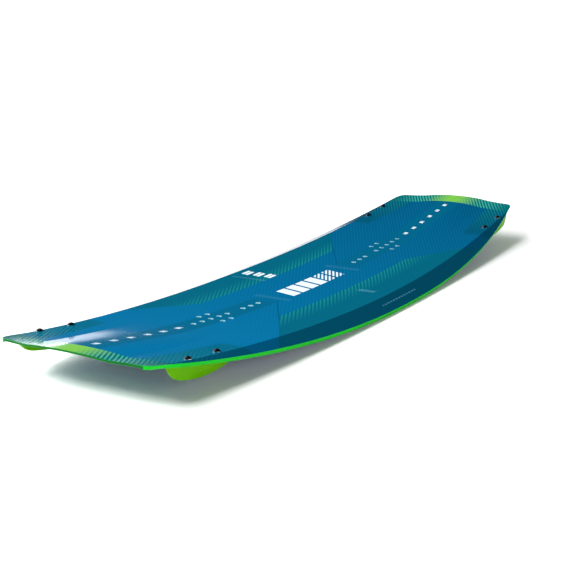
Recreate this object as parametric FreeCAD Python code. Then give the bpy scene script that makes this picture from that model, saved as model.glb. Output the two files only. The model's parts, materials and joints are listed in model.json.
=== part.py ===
import FreeCAD, Part
import math
import os

# Twin-tip board, in millimetres. Origin: the lowest point of the base, at the board's middle.
# +X points at the nose, +Y at the left rail and +Z up. The tail mirrors the nose.

Vector = FreeCAD.Vector
UP = Vector(0, 0, 1)

# Plan
LENGTH = 1430.0
WIDTH = 432.8
TIP_WIDTH = 287.0  # between the rails' lines, carried on to the very ends
TAPER_POWER = 2.07
CORNER_RADIUS = 19.0
HALF = LENGTH / 2

# Side view: the deck rises from the middle to the tips. Each tip's middle panel is arched, and
# the flanks beside it kick up a little at the very end.
ROCKER = 53.1
ROCKER_POWER = 2.1
KICK_START = 600.0
KICK = 2.4
CROWN = 6.6
CROWN_START = 390.0
CROWN_END = 650.0
CROWN_HALF_WIDTH = 83.0

# Cross-section: a flat deck, a bevel down to each rail, a thin rail and a nearly flat base
BEVEL_END = 660.0
BEVEL_WIDTH = 37.0
BEVEL_DROP = 14.1
BEVEL_MARGIN = 1.5
RAIL_DEPTH = 7.75
TIP_RAIL_DEPTH = 6.1
RAIL_DRAFT = 2.8  # how far the rail's lower edge lies inside its upper edge
BASE_LIFT = 0.4
BASE_BEVEL = 14.0
BASE_BEVEL_MARGIN = 2.0
RECESS = 3.0  # depth of the panel between the rails under each tip
RECESS_SLOPE = 3.0
FLAT_SPOT = 0.25  # planed off the base's lowest part, so that the board rests on a flat
THICKNESS = BEVEL_DROP + RAIL_DEPTH + BASE_LIFT - FLAT_SPOT

# Layers
SHEET = 0.6
LAMINATE = 0.8
SIDEWALL = 8.0
TIP_SIDEWALL = 12.0
SIDE_STEP = 0.4  # least distance between two corners of one section

# Binding inserts: M6, one inch apart along the middle, with two pairs beside it
INCH = 25.4
FIRST_INSERT = 388.0
MIDDLE_ROW = (0, 1, 2, 3, 4, 6, 7, 8)
SIDE_ROWS = (2, 3)
SIDE_OFFSET = 25.7
INSERT_RADIUS = 5.0
INSERT_HEIGHT = 13.0
INSERT_STANDING = 0.15
INSERT_FLANGE_RADIUS = 7.5
INSERT_FLANGE = 2.0
M6_MINOR_RADIUS = 2.5
M6_DEPTH = 12.0
BLOCK_START = 165.0
BLOCK_END = 408.0
BLOCK_HALF_WIDTH = 42.0

# Fins and their screws: M6 x 18 nearer the tip and M6 x 22 nearer the middle
FIN_MIDDLE = 568.5
FIN_OFFSET = 150.0
SCREW_SPACING = 75.0
SCREW_LENGTHS = {1: 18.0, -1: 22.0}
SCREW_RADIUS = 3.0
SCREW_HOLE_RADIUS = 3.3  # through the fin blocks, which guide the screws
SKIN_HOLE_RADIUS = 4.4  # through the sheets and laminates, hidden by the washers
HEAD_RADIUS = 5.8
HEAD_RIM = 1.0
HEAD_HEIGHT = 3.6
RECESS_ARM = 3.2
RECESS_ARM_WIDTH = 1.2
RECESS_ARM_DEPTH = 2.0
WASHER_RADIUS = 6.0
WASHER = 1.0
SEAT_GAP = 0.1
NUT_RADIUS = 4.5
NUT_HEIGHT = 8.0
NUT_BORE = 3.05
NUT_COVER = 1.0  # fin plastic above the nut
NUT_RELIEF = 2.0  # blind hole below the nut
FIN_GAP = 0.3  # between the fin's top and the base
FIN_HALF_THICKNESS = 6.0
FIN_END_HALF_THICKNESS = 1.5
FIN_EDGE_HALF_THICKNESS = 2.0
FIN_ROOT_DEPTH = 9.0
FIN_TAPER_DEPTH = 27.0
FIN_EDGE_ROUND = 1.2
# along the board from the fin's middle towards the tip, and depth below the base
FIN_OUTLINE = ((91, 0), (81.5, 12.5), (70, 19.8), (49, 22.6), (24.5, 23.2), (-10, 20), (-45, 12.5), (-90.5, 0))
FIN_BLOCK_START = 515.0
FIN_BLOCK_END = 614.0
FIN_BLOCK_INNER = 138.0
FIN_BLOCK_OUTER = 154.0  # foam is left between the block and the rail

# Lofts run past the tips, and the outline trims them
STATIONS = (0, 90, 180, 270, 350, 420, 480, 530, 570, 600, 630, 660, 690, 718)
TALL = 200.0

ENDS = {"nose": 1, "tail": -1}
SIDES = {"left": 1, "right": -1}


def fade(x, power, end=HALF):
    """1 at the board's middle, falling to 0 at the given distance from it."""
    return max(0.0, 1 - (abs(x) / end) ** power)


def past_kick(x):
    return max(0.0, (abs(x) - KICK_START) / (HALF - KICK_START)) ** 2


def half_width(x):
    return TIP_WIDTH / 2 + (WIDTH - TIP_WIDTH) / 2 * (1 - (abs(x) / HALF) ** TAPER_POWER)


def deck_flat(x):
    return THICKNESS + ROCKER * (abs(x) / HALF) ** ROCKER_POWER + KICK * past_kick(x)


def crown(x, y):
    """The arch over the middle panel. Its crest runs straight on where the flanks kick up."""
    along = min(1.0, max(0.0, (abs(x) - CROWN_START) / (CROWN_END - CROWN_START)))
    crest = CROWN * along ** 2 * (3 - 2 * along) - KICK * past_kick(x)
    return crest * max(0.0, 1 - (y / CROWN_HALF_WIDTH) ** 2)


def shoulder(x):
    """Where the flat deck ends and the bevel begins."""
    return half_width(x) - BEVEL_MARGIN - BEVEL_WIDTH * fade(x, 2.6, BEVEL_END)


def rail_drop(x):
    return BEVEL_DROP * fade(x, 2.2, BEVEL_END)


def rail_depth(x):
    return TIP_RAIL_DEPTH + (RAIL_DEPTH - TIP_RAIL_DEPTH) * fade(x, 2)


def base_edge(x):
    return half_width(x) - RAIL_DRAFT


def base_shoulder(x):
    """Where the flat base ends and turns up to the rail."""
    return base_edge(x) - BASE_BEVEL_MARGIN - BASE_BEVEL * fade(x, 2)


def core_edge(x):
    return half_width(x) - SIDEWALL


def recess_edge(x):
    return min(base_shoulder(x) - 2, core_edge(x) - 2 * SIDE_STEP)


def deck(x, y):
    inner = shoulder(x)
    along_bevel = max(0.0, abs(y) - inner) / (half_width(x) - inner)
    return deck_flat(x) - rail_drop(x) * along_bevel + crown(x, y)


def base(x, y):
    lift = BASE_LIFT * fade(x, 2)
    inner = base_shoulder(x)
    along_bevel = max(0.0, abs(y) - inner) / (base_edge(x) - inner)
    into_recess = min(1.0, max(0.0, (recess_edge(x) - abs(y)) / RECESS_SLOPE))
    recess = RECESS * past_kick(x) * into_recess
    flat = deck_flat(x) - rail_drop(x) - rail_depth(x) - lift
    return flat + lift * along_bevel + recess + crown(x, y)


def deck_stops(x, outer):
    """Corners of the deck's section, from the crown's edge to the given outer edge."""
    corner = min(shoulder(x), outer - SIDE_STEP)
    return [CROWN_HALF_WIDTH, corner, outer]


def base_stops(x, outer):
    recess = recess_edge(x)
    corner = min(base_shoulder(x), outer - SIDE_STEP)
    return [CROWN_HALF_WIDTH, recess - RECESS_SLOPE, recess, corner, outer]


def closed_wire(points, curved=()):
    """A closed section. Edges whose number is in curved pass through the extra point given there."""
    edges = []
    for number, start in enumerate(points):
        end = points[(number + 1) % len(points)]
        if number in curved:
            curve = Part.BSplineCurve()
            curve.interpolate([start, curved[number], end])
            edges.append(curve.toShape())
        else:
            edges.append(Part.makeLine(start, end))
    return Part.Wire(edges)


def full_section(x, top_stops, top, bottom_stops, bottom):
    """A section right across the board. top and bottom give the height at (x, y)."""
    over = [Vector(x, -y, top(x, y)) for y in reversed(top_stops)]
    over += [Vector(x, y, top(x, y)) for y in top_stops]
    under = [Vector(x, y, bottom(x, y)) for y in reversed(bottom_stops)]
    under += [Vector(x, -y, bottom(x, y)) for y in bottom_stops]
    top_middle = len(top_stops) - 1
    bottom_middle = len(over) + len(bottom_stops) - 1
    middles = {
        top_middle: Vector(x, 0, top(x, 0)),
        bottom_middle: Vector(x, 0, bottom(x, 0)),
    }
    return closed_wire(over + under, middles)


def stations():
    return [-x for x in reversed(STATIONS[1:])] + list(STATIONS)


def loft(section):
    """A solid along the whole board through section(x) at each station."""
    return Part.makeLoft([section(x) for x in stations()], True, False, False, 5)


def below_deck(depth):
    return lambda x, y: deck(x, y) - depth


def above_base(height):
    return lambda x, y: base(x, y) + height


def wall_edge(x, depth):
    """The rail's outer face, which leans in below its upper edge."""
    return half_width(x) - RAIL_DRAFT * depth / rail_depth(x)


def core_layer(top, bottom, top_stops, bottom_stops):
    """A layer between the rail sidewalls."""
    return loft(
        lambda x: full_section(
            x, top_stops(x, core_edge(x)), top, bottom_stops(x, core_edge(x)), bottom
        )
    )


def tip_curve(end, inset):
    """The tip in plan: a round middle that flattens out towards the corners."""
    shape = ((0, 0), (54, -2), (84, -6.2), (110, -11.4), (130.5, -14.2))
    points = [Vector(HALF - inset + dx, -y, 0) for y, dx in reversed(shape)]
    points += [Vector(HALF - inset + dx, y, 0) for y, dx in shape[1:]]
    curve = Part.BSplineCurve()
    curve.interpolate([Vector(end * p.x, end * p.y, 0) for p in points])
    return curve.toShape()


def outline_prism():
    """Trims the layers to the tips and their round corners. Its sides stay clear of the rails."""
    edges = []
    sweep = math.radians(74)
    for end in ENDS.values():
        tip = tip_curve(end, 0)
        edges.append(tip)
        for side in SIDES.values():
            start = tip.valueAt(tip.LastParameter if side > 0 else tip.FirstParameter)
            centre = start - Vector(end * CORNER_RADIUS, 0, 0)
            turn = end * side

            def on_arc(angle):
                away = Vector(end * math.cos(angle), turn * math.sin(angle), 0)
                return centre + away * CORNER_RADIUS

            finish = on_arc(sweep)
            middle = on_arc(sweep / 2)
            edges.append(Part.Arc(start, middle, finish).toShape())
            run = abs(finish.x) / math.sin(sweep)
            outside = Vector(0, finish.y + turn * run * math.cos(sweep), 0)
            edges.append(Part.makeLine(finish, outside))
    wire = Part.Wire(Part.__sortEdges__(edges))
    return Part.Face(wire).extrude(UP * TALL).translated(-UP * TALL / 4)


def inner_prism():
    """The room inside the tip sidewalls."""
    far = WIDTH
    edges = []
    corners = []
    for end in ENDS.values():
        tip = tip_curve(end, TIP_SIDEWALL)
        edges.append(tip)
        first = tip.valueAt(tip.FirstParameter)
        last = tip.valueAt(tip.LastParameter)
        corners.append((first, Vector(first.x, -end * far, 0)))
        corners.append((last, Vector(last.x, end * far, 0)))
    for tip_point, corner in corners:
        edges.append(Part.makeLine(tip_point, corner))
    edges.append(Part.makeLine(corners[0][1], corners[3][1]))
    edges.append(Part.makeLine(corners[1][1], corners[2][1]))
    wire = Part.Wire(Part.__sortEdges__(edges))
    return Part.Face(wire).extrude(UP * TALL).translated(-UP * TALL / 4)


def rail_sidewall(side):
    """One strip of sidewall, under the top sheet and over the base sheet."""

    def section(x):
        inner = core_edge(x)
        top_corner = max(shoulder(x), inner + SIDE_STEP)
        base_corner = max(base_shoulder(x), inner + SIDE_STEP)
        over = [inner, top_corner, wall_edge(x, SHEET)]
        under = [wall_edge(x, rail_depth(x) - SHEET), base_corner, inner]
        points = [Vector(x, side * y, deck(x, y) - SHEET) for y in over]
        points += [Vector(x, side * y, base(x, y) + SHEET) for y in under]
        return closed_wire(points)

    return loft(section)


def top_sheet():
    def section(x):
        return full_section(
            x,
            deck_stops(x, half_width(x)),
            deck,
            deck_stops(x, wall_edge(x, SHEET)),
            below_deck(SHEET),
        )

    return loft(section)


def base_sheet():
    def section(x):
        return full_section(
            x,
            base_stops(x, wall_edge(x, rail_depth(x) - SHEET)),
            above_base(SHEET),
            base_stops(x, base_edge(x)),
            base,
        )

    return loft(section)


def room_above_base():
    """Everything over the base, less the fins' clearance: what the fins must stay out of."""

    def section(x):
        wide = half_width(x) + 5
        return full_section(
            x,
            deck_stops(x, wide),
            lambda x, y: TALL,
            base_stops(x, wide),
            above_base(-FIN_GAP),
        )

    return loft(section)


def cylinder(radius, bottom, axis, height):
    return Part.makeCylinder(radius, height, bottom, axis)


def insert_places(end):
    middle = [(end * (FIRST_INSERT - INCH * k), 0) for k in MIDDLE_ROW]
    beside = [
        (end * (FIRST_INSERT - INCH * k), side * SIDE_OFFSET)
        for k in SIDE_ROWS
        for side in SIDES.values()
    ]
    return middle + beside


def binding_insert(x, y, bored):
    """A flanged threaded insert, with its mouth flush with the deck. bored leaves out the hole."""
    mouth = Vector(x, y, deck(x, y) + INSERT_STANDING)
    foot = mouth - UP * INSERT_HEIGHT
    body = cylinder(INSERT_RADIUS, foot, UP, INSERT_HEIGHT)
    body = body.fuse(cylinder(INSERT_FLANGE_RADIUS, foot, UP, INSERT_FLANGE)).removeSplitter()
    if not bored:
        return body
    return body.cut(cylinder(M6_MINOR_RADIUS, mouth - UP * M6_DEPTH, UP, M6_DEPTH))


def insert_block(end):
    box = Part.makeBox(BLOCK_END - BLOCK_START, 2 * BLOCK_HALF_WIDTH, TALL)
    start = BLOCK_START if end > 0 else -BLOCK_END
    return box.translated(Vector(start, -BLOCK_HALF_WIDTH, -TALL / 4))


def fin_block(end, side):
    width = FIN_BLOCK_OUTER - FIN_BLOCK_INNER
    box = Part.makeBox(FIN_BLOCK_END - FIN_BLOCK_START, width, TALL)
    start = FIN_BLOCK_START if end > 0 else -FIN_BLOCK_END
    edge = FIN_BLOCK_INNER if side > 0 else -FIN_BLOCK_OUTER
    return box.translated(Vector(start, edge, -TALL / 4))


def screw_axis(end):
    """Square to the deck half way between a fin's two screws."""
    step = 1.0
    slope = (deck_flat(FIN_MIDDLE + step) - deck_flat(FIN_MIDDLE - step)) / (2 * step)
    return Vector(-end * slope, 0, 1).normalize()


def screw_seat(end, side, place):
    """The point on the deck under a screw. place is 1 towards the tip and -1 towards the middle."""
    x = end * (FIN_MIDDLE + place * SCREW_SPACING / 2)
    y = side * FIN_OFFSET
    return Vector(x, y, deck(x, y)) + screw_axis(end) * SEAT_GAP


def fin_washer(end, side, place):
    seat = screw_seat(end, side, place)
    axis = screw_axis(end)
    ring = cylinder(WASHER_RADIUS, seat, axis, WASHER)
    return ring.cut(cylinder(SCREW_HOLE_RADIUS, seat, axis, WASHER))


def fin_screw(end, side, place):
    """A pan-head screw with a cross recess, built upright and then set on its washer."""
    length = SCREW_LENGTHS[place]
    profile = [
        Part.makeLine(Vector(0, 0, -length), Vector(SCREW_RADIUS, 0, -length)),
        Part.makeLine(Vector(SCREW_RADIUS, 0, -length), Vector(SCREW_RADIUS, 0, 0)),
        Part.makeLine(Vector(SCREW_RADIUS, 0, 0), Vector(HEAD_RADIUS, 0, 0)),
        Part.makeLine(Vector(HEAD_RADIUS, 0, 0), Vector(HEAD_RADIUS, 0, HEAD_RIM)),
        Part.Arc(
            Vector(HEAD_RADIUS, 0, HEAD_RIM),
            Vector(HEAD_RADIUS * 0.68, 0, HEAD_RIM + (HEAD_HEIGHT - HEAD_RIM) * 0.72),
            Vector(0, 0, HEAD_HEIGHT),
        ).toShape(),
        Part.makeLine(Vector(0, 0, HEAD_HEIGHT), Vector(0, 0, -length)),
    ]
    screw = Part.Face(Part.Wire(profile)).revolve(Vector(0, 0, 0), UP, 360)
    for turn in (0, 90):
        arm = Part.makeBox(2 * RECESS_ARM, RECESS_ARM_WIDTH, RECESS_ARM_DEPTH + 1)
        floor = HEAD_HEIGHT - RECESS_ARM_DEPTH
        arm.translate(Vector(-RECESS_ARM, -RECESS_ARM_WIDTH / 2, floor))
        arm.rotate(Vector(0, 0, 0), UP, turn)
        screw = screw.cut(arm)
    axis = screw_axis(end)
    seat = screw_seat(end, side, place) + axis * WASHER
    screw.Placement = FreeCAD.Placement(seat, FreeCAD.Rotation(UP, axis))
    return screw


def screw_hole(end, side, place, radius):
    axis = screw_axis(end)
    return cylinder(radius, screw_seat(end, side, place) - axis * TALL / 4, axis, TALL / 2)


def fin_top(end, side, place):
    """Where a screw's axis leaves the base."""
    seat = screw_seat(end, side, place)
    axis = screw_axis(end)
    depth = 0.0
    for _ in range(20):
        point = seat - axis * depth
        depth += point.z - base(point.x, point.y)
    return seat - axis * (depth + FIN_GAP)


def nut_blank(end, side, place):
    axis = screw_axis(end)
    foot = fin_top(end, side, place) - axis * (NUT_COVER + NUT_HEIGHT)
    return cylinder(NUT_RADIUS, foot, axis, NUT_HEIGHT)


def fin_nut(end, side, place):
    axis = screw_axis(end)
    bore = cylinder(NUT_BORE, fin_top(end, side, place) - axis * TALL / 4, axis, TALL / 2)
    return nut_blank(end, side, place).cut(bore)


def fin(end, side, above):
    """A long low fin: thick at the root, thin along its lower edge and at both ends."""
    y = side * FIN_OFFSET

    def on_side_view(offset, depth):
        x = FIN_MIDDLE + offset
        return Vector(end * x, y - FIN_HALF_THICKNESS, base(x, FIN_OFFSET) - depth)

    edge = Part.BSplineCurve()
    edge.interpolate([on_side_view(*place) for place in FIN_OUTLINE])
    tip = on_side_view(*FIN_OUTLINE[0])
    heel = on_side_view(*FIN_OUTLINE[-1])
    top = Vector(0, 0, FIN_ROOT_DEPTH)
    rim = [
        edge.toShape(),
        Part.makeLine(heel, heel + top),
        Part.makeLine(heel + top, tip + top),
        Part.makeLine(tip + top, tip),
    ]
    side_view = Part.Face(Part.Wire(rim)).extrude(Vector(0, 2 * FIN_HALF_THICKNESS, 0))

    ends = [FIN_MIDDLE + FIN_OUTLINE[0][0], FIN_MIDDLE + FIN_OUTLINE[-1][0]]
    cheeks = []
    for cheek in (1, -1):
        arc = Part.Arc(
            Vector(end * ends[0], y + cheek * FIN_END_HALF_THICKNESS, 0),
            Vector(end * FIN_MIDDLE, y + cheek * FIN_HALF_THICKNESS, 0),
            Vector(end * ends[1], y + cheek * FIN_END_HALF_THICKNESS, 0),
        )
        cheeks.append(arc.toShape())
    for x in ends:
        across = Vector(0, FIN_END_HALF_THICKNESS, 0)
        place = Vector(end * x, y, 0)
        cheeks.append(Part.makeLine(place + across, place - across))
    plan = Part.Face(Part.Wire(Part.__sortEdges__(cheeks))).extrude(UP * TALL)

    thickness = (
        (FIN_HALF_THICKNESS + 1, FIN_ROOT_DEPTH + 1),
        (FIN_HALF_THICKNESS, -FIN_ROOT_DEPTH),
        (FIN_EDGE_HALF_THICKNESS, -FIN_TAPER_DEPTH),
    )
    corners = [Vector(heel.x, y + dy, heel.z + dz) for dy, dz in thickness]
    corners += [Vector(heel.x, y - dy, heel.z + dz) for dy, dz in reversed(thickness)]
    along = Vector(tip.x - heel.x, 0, tip.z - heel.z)
    front_view = Part.Face(Part.makePolygon(corners + corners[:1])).extrude(along)

    body = side_view.common(plan).common(front_view).cut(above)
    axis = screw_axis(end)
    for place in SCREW_LENGTHS:
        top_point = fin_top(end, side, place)
        reach = NUT_COVER + NUT_HEIGHT + NUT_RELIEF
        body = body.cut(nut_blank(end, side, place))
        body = body.cut(cylinder(SCREW_HOLE_RADIUS, top_point - axis * reach, axis, reach + 5))
    return body


def save(name, shape):
    solids = shape.Solids
    whole = solids[0] if len(solids) == 1 else Part.makeCompound(solids)
    whole.exportStep("parts/" + name + ".step")
    state = "valid" if whole.isValid() else "BAD"
    print(name, len(solids), "solids", round(whole.Volume / 1000, 2), "cm3", state)


def main():
    os.makedirs("parts", exist_ok=True)
    outline = outline_prism()
    inside = inner_prism()
    corners = [(end, side) for end in ENDS.values() for side in SIDES.values()]
    places = [(end, side, place) for end, side in corners for place in SCREW_LENGTHS]
    holes = [screw_hole(*place, SCREW_HOLE_RADIUS) for place in places]
    skin_holes = [screw_hole(*place, SKIN_HOLE_RADIUS) for place in places]
    inserts = {end: [binding_insert(x, y, False) for x, y in insert_places(end)] for end in ENDS.values()}
    all_inserts = inserts[1] + inserts[-1]

    save("top_sheet", top_sheet().common(outline).cut(skin_holes + all_inserts))
    below_floor = Part.makeBox(LENGTH, 2 * WIDTH, TALL).translated(Vector(-HALF, -WIDTH, -TALL))
    save("base_sheet", base_sheet().common(outline).cut(skin_holes).cut(below_floor))

    skin = SHEET + LAMINATE
    top_laminate = core_layer(below_deck(SHEET), below_deck(skin), deck_stops, deck_stops)
    save("top_laminate", top_laminate.common(inside).cut(skin_holes + all_inserts))
    base_laminate = core_layer(above_base(skin), above_base(SHEET), base_stops, base_stops)
    save("base_laminate", base_laminate.common(inside).cut(skin_holes))

    core = core_layer(below_deck(skin), above_base(skin), deck_stops, base_stops).common(inside)
    blocks = []
    for end_name, end in ENDS.items():
        block = core.common(insert_block(end))
        blocks.append(insert_block(end))
        save(end_name + "_insert_block", block.cut(inserts[end]))
        for side_name, side in SIDES.items():
            block = core.common(fin_block(end, side))
            blocks.append(fin_block(end, side))
            save(end_name + "_" + side_name + "_fin_block", block.cut(holes))
    save("foam_core", core.cut(blocks))

    for side_name, side in SIDES.items():
        save(side_name + "_rail_sidewall", rail_sidewall(side).common(outline))
    ring = core_layer(below_deck(SHEET), above_base(SHEET), deck_stops, base_stops)
    ring = ring.common(outline).cut(inside)
    for end_name, end in ENDS.items():
        tips = [solid for solid in ring.Solids if solid.CenterOfMass.x * end > 0]
        save(end_name + "_tip_sidewall", Part.makeCompound(tips))

    above = room_above_base()
    for end_name, end in ENDS.items():
        bored = [binding_insert(x, y, True) for x, y in insert_places(end)]
        save(end_name + "_binding_inserts", Part.makeCompound(bored))
        for side_name, side in SIDES.items():
            corner = end_name + "_" + side_name + "_fin"
            save(corner, fin(end, side, above))
            nuts = [fin_nut(end, side, place) for place in SCREW_LENGTHS]
            save(corner + "_nuts", Part.makeCompound(nuts))
            washers = [fin_washer(end, side, place) for place in SCREW_LENGTHS]
            save(corner + "_washers", Part.makeCompound(washers))
            for place_name, place in (("outer", 1), ("inner", -1)):
                save(corner + "_screw_" + place_name, fin_screw(end, side, place))


main()
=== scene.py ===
import json
import math

import bpy
from mathutils import Matrix, Vector


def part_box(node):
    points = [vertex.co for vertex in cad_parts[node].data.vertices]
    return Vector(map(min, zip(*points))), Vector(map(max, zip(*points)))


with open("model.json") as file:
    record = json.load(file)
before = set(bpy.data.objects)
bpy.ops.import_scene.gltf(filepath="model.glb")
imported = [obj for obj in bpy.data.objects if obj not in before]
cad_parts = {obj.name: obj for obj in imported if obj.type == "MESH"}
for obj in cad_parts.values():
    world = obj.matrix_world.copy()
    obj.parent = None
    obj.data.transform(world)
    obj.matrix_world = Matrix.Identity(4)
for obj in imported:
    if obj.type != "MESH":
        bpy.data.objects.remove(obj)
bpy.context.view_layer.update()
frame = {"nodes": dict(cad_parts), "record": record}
nodes = frame["nodes"]

# ---------------------------------------------------------------- sizes, in metres
MM = 0.001
DECK_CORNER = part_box("top_sheet")[1]
HALF_LENGTH = DECK_CORNER.x
HALF_WIDTH = DECK_CORNER.y


def srgb(red, green, blue):
    """A colour given as a screen shows it, 0 to 255, as the linear colour a shader takes."""
    def linear(value):
        value /= 255
        return value / 12.92 if value <= 0.04045 else ((value + 0.055) / 1.055) ** 2.4
    return (linear(red), linear(green), linear(blue), 1)


# ---------------------------------------------------------------- shader arithmetic
class Field:
    """A number that varies over a surface. Ordinary arithmetic on it adds math nodes."""

    def __init__(self, tree, socket):
        self.tree = tree
        self.socket = socket

    def _with(self, operation, *others, clamp=False):
        node = self.tree.nodes.new("ShaderNodeMath")
        node.operation = operation
        node.use_clamp = clamp
        for slot, value in enumerate((self, *others)):
            if isinstance(value, Field):
                self.tree.links.new(value.socket, node.inputs[slot])
            else:
                node.inputs[slot].default_value = value
        return Field(self.tree, node.outputs[0])

    def __add__(self, other):
        return self._with("ADD", other)

    def __sub__(self, other):
        return self._with("SUBTRACT", other)

    def __mul__(self, other):
        return self._with("MULTIPLY", other)

    def __truediv__(self, other):
        return self._with("DIVIDE", other)

    def __neg__(self):
        return self * -1

    def __abs__(self):
        return self._with("ABSOLUTE")

    def power(self, exponent):
        return self._with("POWER", exponent)

    def least(self, other):
        return self._with("MINIMUM", other)

    def most(self, other):
        return self._with("MAXIMUM", other)

    def sign(self):
        return self._with("SIGN")

    def whole(self):
        return self._with("FLOOR")

    def repeat(self, length):
        """Distance from the middle of the cell it lies in, for cells of that length side by side."""
        return self - (self / length).whole() * length - length / 2

    def inside(self, soft=0.6):
        """1 where the field is positive and 0 where it is negative, over a soft edge."""
        return (self / soft)._with("ADD", 0.5, clamp=True)

    def ramp(self, start, end):
        """0 at start, 1 at end."""
        return (self - start)._with("DIVIDE", end - start, clamp=True)


def both(*masks):
    result = masks[0]
    for mask in masks[1:]:
        result = result * mask
    return result


def either(*masks):
    result = masks[0]
    for mask in masks[1:]:
        result = result.most(mask)
    return result


def within(field, half, soft=0.6):
    """1 where the field lies between -half and half."""
    return (-(abs(field) - half)).inside(soft)


def between(field, start, end):
    """1 where the field lies between start and end."""
    return both((field - start).inside(), (-(field - end)).inside())


class Paint:
    """A material being made: its shader, coordinates in millimetres, and layers of colour."""

    def __init__(self, name, colour, roughness, metallic=0.0, specular=0.5):
        self.material = bpy.data.materials.new(name)
        self.material.use_nodes = True
        self.tree = self.material.node_tree
        self.shader = self.tree.nodes["Principled BSDF"]
        self.shader.inputs["Metallic"].default_value = metallic
        self.shader.inputs["Specular IOR Level"].default_value = specular
        self.shader.inputs["Roughness"].default_value = roughness
        self.shader.inputs["Base Color"].default_value = colour
        self.colour = colour
        place = self.tree.nodes.new("ShaderNodeTexCoord").outputs["Object"]
        split = self.tree.nodes.new("ShaderNodeSeparateXYZ")
        self.tree.links.new(place, split.inputs[0])
        self.place = place
        self.x = Field(self.tree, split.outputs[0]) / MM
        self.y = Field(self.tree, split.outputs[1]) / MM
        self.z = Field(self.tree, split.outputs[2]) / MM

    def normal_z(self):
        geometry = self.tree.nodes.new("ShaderNodeNewGeometry")
        split = self.tree.nodes.new("ShaderNodeSeparateXYZ")
        self.tree.links.new(geometry.outputs["True Normal"], split.inputs[0])
        return Field(self.tree, split.outputs[2])

    def noise(self, size, detail=2.0, stretch=(1, 1, 1)):
        """Noise from 0 to 1 with features of about that size in millimetres."""
        mapping = self.tree.nodes.new("ShaderNodeMapping")
        mapping.inputs["Scale"].default_value = [1 / (size * MM * s) for s in stretch]
        texture = self.tree.nodes.new("ShaderNodeTexNoise")
        texture.inputs["Scale"].default_value = 1.0
        texture.inputs["Detail"].default_value = detail
        self.tree.links.new(self.place, mapping.inputs["Vector"])
        self.tree.links.new(mapping.outputs["Vector"], texture.inputs["Vector"])
        return Field(self.tree, texture.outputs["Fac"])

    def mixed(self, amount, first, second):
        node = self.tree.nodes.new("ShaderNodeMix")
        node.data_type = "RGBA"
        for socket, value in ((node.inputs[0], amount), (node.inputs[6], first), (node.inputs[7], second)):
            if isinstance(value, Field):
                self.tree.links.new(value.socket, socket)
            elif isinstance(value, bpy.types.NodeSocket):
                self.tree.links.new(value, socket)
            else:
                socket.default_value = value
        return node.outputs[2]

    def layer(self, amount, colour):
        """Lays a colour over what is there, where amount is 1."""
        self.colour = self.mixed(amount, self.colour, colour)

    def finish(self, roughness=None, bump=None, bump_height=0.02):
        """Joins colour, roughness and bump to the shader. bump_height is in millimetres."""
        if isinstance(self.colour, bpy.types.NodeSocket):
            self.tree.links.new(self.colour, self.shader.inputs["Base Color"])
        if roughness is not None:
            self.tree.links.new(roughness.socket, self.shader.inputs["Roughness"])
        if bump is not None:
            node = self.tree.nodes.new("ShaderNodeBump")
            node.inputs["Strength"].default_value = 1.0
            node.inputs["Distance"].default_value = bump_height * MM
            self.tree.links.new(bump.socket, node.inputs["Height"])
            self.tree.links.new(node.outputs["Normal"], self.shader.inputs["Normal"])
        return self.material


# ---------------------------------------------------------------- the printed deck
BLUE = srgb(0, 98, 143)
BLUE_LINE = srgb(0, 116, 150)
TEAL = srgb(0, 88, 108)
TEAL_LINE = srgb(24, 136, 130)
SPINE = srgb(0, 88, 118)
NAVY = srgb(0, 42, 66)
TIP_GREEN = srgb(112, 178, 70)
TIP_CYAN = srgb(58, 156, 142)
TIP_TEAL = srgb(0, 92, 98)
SHADE = srgb(0, 62, 94)
WHITE = srgb(214, 228, 236)
PALE = srgb(86, 156, 180)
EDGE_GREEN = srgb(20, 186, 36)
SHADED_TIP_EDGE = srgb(8, 104, 30)
SHADED_CORNER_TEAL = srgb(0, 74, 96)

# places and widths of the print, in millimetres from the middle of the board
STRIPE_TURN = math.radians(30)
STRIPE_PITCH = 6.8
SLANT = 0.27  # how far a bar leans for each millimetre across the board
NARROWING = 72.9  # what the half width loses from the middle to the tip
BEVEL_WIDTH = 37
BEVEL_REACH = 660
TIP_ROUND = 14  # how far the tip's edge draws back, at TIP_HALF from the middle line
TIP_HALF = 130
TIP_BAND = 47
EDGE_STRIP = 4.5
SPINE_HALF = 27
SPINE_START = 150
HAIRLINE_END = 345
PANEL_EDGE = 88
ROW_START = 409
ROW_STEP = 42
ROW_BARS = 6
LARGE_START = -100
LARGE_END = 104
STACK_START = 85
STACK_STEP = 27
STACK_BARS = 3


def stripes(paint, pitch, duty, soft=1.4):
    """Diagonal stripes: 1 on a stripe, 0 between."""
    across = paint.y * math.cos(STRIPE_TURN) - paint.x * math.sin(STRIPE_TURN)
    return (-(abs(across.repeat(pitch)) - pitch * duty / 2)).inside(soft)


def board_lines(paint):
    """Half width, shoulder of the bevel, and the tip's edge, as the board's plan has them."""
    along = abs(paint.x)
    half_width = -((along / (HALF_LENGTH / MM)).power(2.07) * NARROWING) + HALF_WIDTH / MM
    bevel = (-((along / BEVEL_REACH).power(2.6)) + 1).most(0.0) * BEVEL_WIDTH
    shoulder = half_width - bevel - 1.5
    tip = -((paint.y / TIP_HALF).power(2) * TIP_ROUND) + HALF_LENGTH / MM
    return along, half_width, shoulder, tip


def slanted(u, v, half_length, half_height):
    """A leaning bar, centred where u and v are 0."""
    return both(within(u - v * SLANT, half_length), within(v, half_height))


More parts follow.
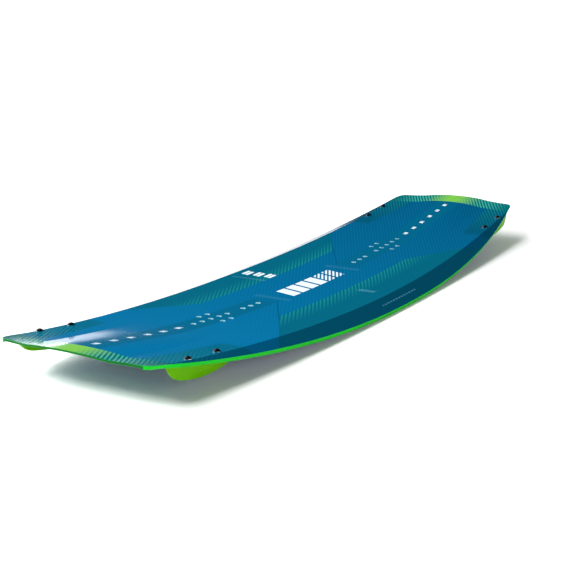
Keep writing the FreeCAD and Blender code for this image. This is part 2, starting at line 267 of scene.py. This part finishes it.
def deck_marks(paint, along):
    """Plain slanted bars and ticks, where such a board carries its print."""
    x, y = paint.x, paint.y
    # a row of small bars along the middle of each end, each cut by one slit
    cell = ((along - ROW_START) / ROW_STEP).whole()
    u = (along - ROW_START).repeat(ROW_STEP)
    row = between(along, ROW_START, ROW_START + ROW_BARS * ROW_STEP)
    slit = (abs(u - y * SLANT - (cell - (cell / 3).whole() * 3 - 1) * 3) - 1.0).inside()
    small = both(slanted(u, y, 6.2, 4.6), row, slit)

    # the large mark in the middle: leaning bars, solid at first and hatched at the end
    v = y + 4
    lean = x - v * SLANT
    block = both(within(v, 24), between(lean, LARGE_START, LARGE_END))
    bars = within((lean - LARGE_START).repeat(34), 13.5)
    hatch = either((-(lean - 36)).inside(), stripes(paint, 7.5, 0.5))
    large = both(block, bars, hatch)

    # stacked bars and a row of ticks on the left, a small label on the right
    w = y - STACK_START
    in_stack = between(w, 0, STACK_BARS * STACK_STEP)
    across_bar = w.repeat(STACK_STEP)
    stack = both(slanted(x - 10, across_bar, 13, 9), in_stack, (abs(across_bar) - 1.2).inside())
    ticks = both(within(x + 28, 4), within(w.repeat(5), 1.1), in_stack)
    label = both(within(x, 7), within(y + 130, 18), (abs((y + 130).repeat(6)) - 0.9).inside())
    rim_ticks = both(within(y + 196, 1.6), within(x - 10, 70), within((x - y * SLANT).repeat(11), 3.6))
    ladder = both(within(along - 135, 7), within(y, 40), within(y.repeat(4), 0.9))
    white = either(small, large, stack)
    return white, either(ticks, label, rim_ticks) * 0.4, ladder * 0.2


def deck_print():
    paint = Paint("deck_print", BLUE, 0.2, specular=0.08)
    along, _, shoulder, tip = board_lines(paint)
    side = abs(paint.y)
    fine = stripes(paint, STRIPE_PITCH, 0.42)
    drift = paint.noise(420, 0.0) * 160

    # the blue field: a slow change of tone along the board, darker towards the nose, which is painted
    # shade, and stripes
    paint.layer((paint.x + drift).ramp(-350, 850) * 0.72, SHADE)
    paint.layer(fine * 0.22, BLUE_LINE)

    # the dark hairlines that run out from the spine
    outward = paint.x * paint.y.sign()
    turn = math.atan2(120, 180)
    off_line = (side - 20) * math.cos(turn) - (outward - SPINE_START) * math.sin(turn)
    hairline = both(within(off_line, 1.0, 1.0), between(outward, SPINE_START, HAIRLINE_END))
    paint.layer(hairline * 0.6, SHADE)

    # the spine
    band = along - tip + TIP_BAND
    spine = both((-(side - SPINE_HALF)).inside(2), (along - SPINE_START).inside(60), (-band).inside())
    paint.layer(spine * 0.75, SPINE)

    # side panels, hatched along their inner edge
    flank = (-(along - 250 - (side - PANEL_EDGE) * 1.6)) / 1.9
    panel = (side - PANEL_EDGE).least(flank).inside()
    paint.layer(panel * 0.85, TEAL)
    paint.layer(both(panel, fine, (-side).ramp(-132, -90)) * 0.75, TEAL_LINE)

    # corner zones, running back along the rails from each tip
    corner = both((side - 100 - (-along + BEVEL_REACH) * 0.11).inside(2), (along - 475).inside(8))
    # the nose's corners take a darker teal, which is painted shade
    paint.layer(corner * 0.7, paint.mixed(paint.x.ramp(0, 500), TEAL, SHADED_CORNER_TEAL))
    paint.layer(both(corner, fine, along.ramp(500, 640)) * 0.4, TEAL_LINE)

    # tip bands: solid green in the middle, breaking into stripes that fade to teal
    tip_band = band.inside()
    light = paint.mixed(side.ramp(8, 80), TIP_GREEN, TIP_CYAN)
    gap = paint.mixed(side.ramp(12, 60), TIP_GREEN, TIP_TEAL)
    strength = (-side).ramp(-150, -95)
    striped = paint.mixed(both(fine, strength), gap, light)
    paint.layer(tip_band, striped)

    # the bevels
    on_bevel = (side - shoulder).inside(0.8)
    paint.layer(on_bevel * 0.6, NAVY)

    white, pale, ladder = deck_marks(paint, along)
    paint.layer(ladder, PALE)
    paint.layer(pale, PALE)
    paint.layer(white, WHITE)

    # the sheet's own cut edge: green, and a darker green at the tips, which is painted shade
    cut_edge = (-(paint.normal_z() - 0.5)).inside(0.1)
    paint.layer(cut_edge, paint.mixed((along - 700).inside(6), EDGE_GREEN, SHADED_TIP_EDGE))

    haze = paint.noise(180, 1.0)
    scuffs = paint.noise(1.5, 2.0, stretch=(20, 1, 1))
    roughness = haze * 0.04 + scuffs * 0.02 + 0.09
    return paint.finish(roughness, paint.noise(30, 0.0), 0.003)


# ---------------------------------------------------------------- the other materials
def moulded(name, colour, shade, specular, grain=1.2):
    """Moulded or extruded plastic: slow tone changes, fine grain and light rub marks."""
    paint = Paint(name, colour, 0.3, specular=specular)
    paint.layer(paint.noise(60, 2.0).ramp(0.35, 0.8) * 0.5, shade)
    paint.layer(paint.noise(2.5, 3.0, stretch=(12, 1, 1)).ramp(0.62, 0.85) * 0.25, shade)
    roughness = paint.noise(18, 3.0) * 0.2 + 0.2
    return paint.finish(roughness, paint.noise(grain, 2.0), 0.01)


def base_plastic():
    """The running surface: the deck's blue, with faint stripes and the marks of sliding along it."""
    paint = Paint("base_plastic", srgb(0, 84, 128), 0.3, specular=0.4)
    along, half_width, _, tip = board_lines(paint)
    side = abs(paint.y)
    fine = stripes(paint, STRIPE_PITCH * 2, 0.5)
    paint.layer(paint.noise(220, 1.0).ramp(0.4, 0.75) * 0.4, SHADE)
    paint.layer(both(fine, (along - 330).ramp(0, 300)) * 0.5, TEAL_LINE)
    paint.layer((along - tip + TIP_BAND).inside(), TIP_GREEN)
    paint.layer((side - half_width + EDGE_STRIP).inside(), EDGE_GREEN)
    # a darker green edge strip at the tips, which is painted shade
    paint.layer((along - tip + EDGE_STRIP).inside(), SHADED_TIP_EDGE)
    slides = paint.noise(1.6, 3.0, stretch=(60, 1, 1))
    paint.layer(slides.ramp(0.66, 0.8) * 0.2, WHITE)
    return paint.finish(paint.noise(30, 2.0) * 0.15 + slides * 0.12 + 0.2, slides, 0.01)


def metal(name, colour, shade, roughness=0.28, metallic=1.0):
    """Turned metal with fine tool marks and slight tarnish. A less metallic one shows its pale colour as
    painted reflection.
    """
    paint = Paint(name, colour, roughness, metallic=metallic)
    paint.layer(paint.noise(2.0, 3.0).ramp(0.4, 0.8) * 0.4, shade)
    marks = paint.noise(0.25, 2.0, stretch=(1, 1, 6))
    return paint.finish(paint.noise(1.5, 2.0) * 0.2 + (roughness - 0.1), marks, 0.006)


def screw_black():
    """Black coated steel, worn a little brighter on its high spots."""
    paint = Paint("screw_black", srgb(5, 5, 8), 0.4, specular=0.15)
    paint.layer(paint.noise(1.2, 3.0).ramp(0.7, 0.85) * 0.2, srgb(44, 46, 52))
    return paint.finish(paint.noise(2.0, 2.0) * 0.2 + 0.3, paint.noise(0.5, 2.0), 0.004)


def glass_laminate():
    """Woven glass cloth in resin, seen only when the layers are pulled apart."""
    paint = Paint("glass_laminate", srgb(205, 214, 196), 0.35)
    weave = both(within(paint.x.repeat(2), 0.6, 0.4), within(paint.y.repeat(2), 0.6, 0.4))
    paint.layer(weave * 0.6, srgb(236, 240, 226))
    return paint.finish(paint.noise(10) * 0.2 + 0.25, weave, 0.05)


def cellular(name, colour, shade, cell):
    """Closed-cell foam or filled resin."""
    paint = Paint(name, colour, 0.8)
    cells = paint.noise(cell, 3.0)
    paint.layer(cells.ramp(0.5, 0.7) * 0.5, shade)
    return paint.finish(cells * 0.2 + 0.6, cells, 0.2)


MATERIALS = {
    "deck_print": deck_print(),
    "base_plastic": base_plastic(),
    "sidewall_plastic": moulded("sidewall_plastic", srgb(18, 190, 34), srgb(12, 168, 32), specular=0.08),
    # the rails' green plastic in painted shade, for the tips' walls
    "painted_shade_tip_plastic": moulded("painted_shade_tip_plastic", srgb(8, 96, 28), srgb(6, 84, 26), specular=0.05),
    "fin_plastic": moulded("fin_plastic", srgb(96, 170, 0), srgb(80, 152, 0), specular=0.03, grain=0.8),
    "glass_laminate": glass_laminate(),
    "core_foam": cellular("core_foam", srgb(222, 208, 166), srgb(196, 180, 140), 0.9),
    "dense_block": cellular("dense_block", srgb(160, 128, 88), srgb(128, 98, 64), 0.5),
    # pale cyan and hardly metallic: a painted reflection, the bright ring that the metal would mirror
    "insert_metal": metal("insert_metal", srgb(150, 206, 220), srgb(120, 176, 194), 0.45, metallic=0.2),
    "washer_metal": metal("washer_metal", srgb(206, 208, 210), srgb(150, 152, 156)),
    "nut_brass": metal("nut_brass", srgb(212, 176, 96), srgb(160, 124, 60)),
    "screw_black": screw_black(),
}


def dress_nodes():
    """Every CAD node takes the material of its slot. The tips' walls take a darker copy of the rails'
    green, which is painted shade.
    """
    for part in frame["record"]["subparts"]:
        obj = nodes[part["node"]]
        slot = "painted_shade_tip_plastic" if part["node"].endswith("tip_sidewall") else part["material_slot"]
        obj.data.materials.clear()
        obj.data.materials.append(MATERIALS[slot])


dress_nodes()


# ---------------------------------------------------------------- floor, light and camera
CAMERA_PLACE = (-1.98565, -1.19307, 0.62035)
CAMERA_FORWARD = (0.81887, 0.51629, -0.25078)
CAMERA_UP = (0.22084, 0.11988, 0.96791)
CAMERA_LENS = 76.2  # millimetres, on a sensor 36 millimetres wide
FLOOR_REACH = 60.0
FLOOR_GAP = 0.1 * MM  # keeps the floor clear of the flat that the board rests on


def floor():
    """A pale matt floor that glows, a painted light: a little everywhere, which lightens the board's
    shadow, and more away from a point 300 mm towards the tail, so that the floor stays pale there and the
    nose's shadow is shorter.
    """
    mesh = bpy.data.meshes.new("floor")
    signs = ((-1, -1), (1, -1), (1, 1), (-1, 1))
    corners = [(FLOOR_REACH * x, FLOOR_REACH * y, -FLOOR_GAP) for x, y in signs]
    mesh.from_pydata(corners, [], [(0, 1, 2, 3)])
    obj = bpy.data.objects.new("floor", mesh)
    bpy.context.scene.collection.objects.link(obj)
    paint = Paint("floor", srgb(241, 242, 242), 0.9, specular=0.0)
    paint.layer(paint.noise(900, 1.0) * 0.1, srgb(236, 238, 239))
    away = ((paint.x + 300).power(2) + paint.y.power(2)).power(0.5)
    glow = away.ramp(700, 2400) * 0.5 + 0.06
    paint.tree.links.new(glow.socket, paint.shader.inputs["Emission Strength"])
    paint.shader.inputs["Emission Color"].default_value = (1, 1, 1, 1)
    mesh.materials.append(paint.finish())


def area_light(name, place, target, size, power):
    """A rectangular light at a place, facing its target."""
    light = bpy.data.lights.new(name, "AREA")
    light.shape = "RECTANGLE"
    light.size, light.size_y = size
    light.energy = power
    obj = bpy.data.objects.new(name, light)
    obj.location = place
    obj.rotation_mode = "QUATERNION"
    obj.rotation_quaternion = (Vector(target) - Vector(place)).to_track_quat("-Z", "Y")
    bpy.context.scene.collection.objects.link(obj)
    return obj


def sky(name, travel, power, spread):
    """A wide soft light that reaches the whole floor evenly, along the way its light travels."""
    light = bpy.data.lights.new(name, "SUN")
    light.energy = power
    light.angle = math.radians(spread)
    obj = bpy.data.objects.new(name, light)
    obj.location = (0, 0, 4)
    obj.rotation_mode = "QUATERNION"
    obj.rotation_quaternion = Vector(travel).to_track_quat("-Z", "Y")
    bpy.context.scene.collection.objects.link(obj)
    return obj


def camera():
    """The photographer's camera: low, from the tail's right, with a medium telephoto lens."""
    data = bpy.data.cameras.new("camera")
    data.sensor_width = 36.0
    data.lens = CAMERA_LENS
    obj = bpy.data.objects.new("camera", data)
    forward = Vector(CAMERA_FORWARD).normalized()
    right = forward.cross(Vector(CAMERA_UP)).normalized()
    up = right.cross(forward)
    turn = Matrix((right, up, -forward)).transposed()
    obj.matrix_world = Matrix.Translation(CAMERA_PLACE) @ turn.to_4x4()
    bpy.context.scene.collection.objects.link(obj)
    bpy.context.scene.camera = obj


def studio():
    """A dim world and five lights: three soft ones from the sky, a key light and a glint."""
    world = bpy.data.worlds.new("studio")
    world.use_nodes = True
    world.node_tree.nodes["Background"].inputs["Color"].default_value = (0.9, 0.95, 1.0, 1)
    world.node_tree.nodes["Background"].inputs["Strength"].default_value = 0.015
    bpy.context.scene.world = world
    bpy.context.scene.view_settings.view_transform = "Standard"
    sky("main", (0.0, -1.4, -1), 4.5, 58)
    fill = sky("fill", (0, 0, -1), 0.25, 130)
    front = sky("front", (0.25, 1, -0.3), 1.1, 40)
    key = area_light("key", (-2.6, 0.85, 2.3), (-0.4, 0, 0), (1.0, 1.0), 125)
    for light in (fill, front, key):
        light.visible_glossy = False
    # low and behind the board, so that only the tail's raised end mirrors it
    glint = area_light("glint", (3.02, 3.49, 0.05), (-0.65, 0.09, 0.07), (0.2, 0.06), 0.5)
    glint.visible_camera = False


floor()
studio()
camera()
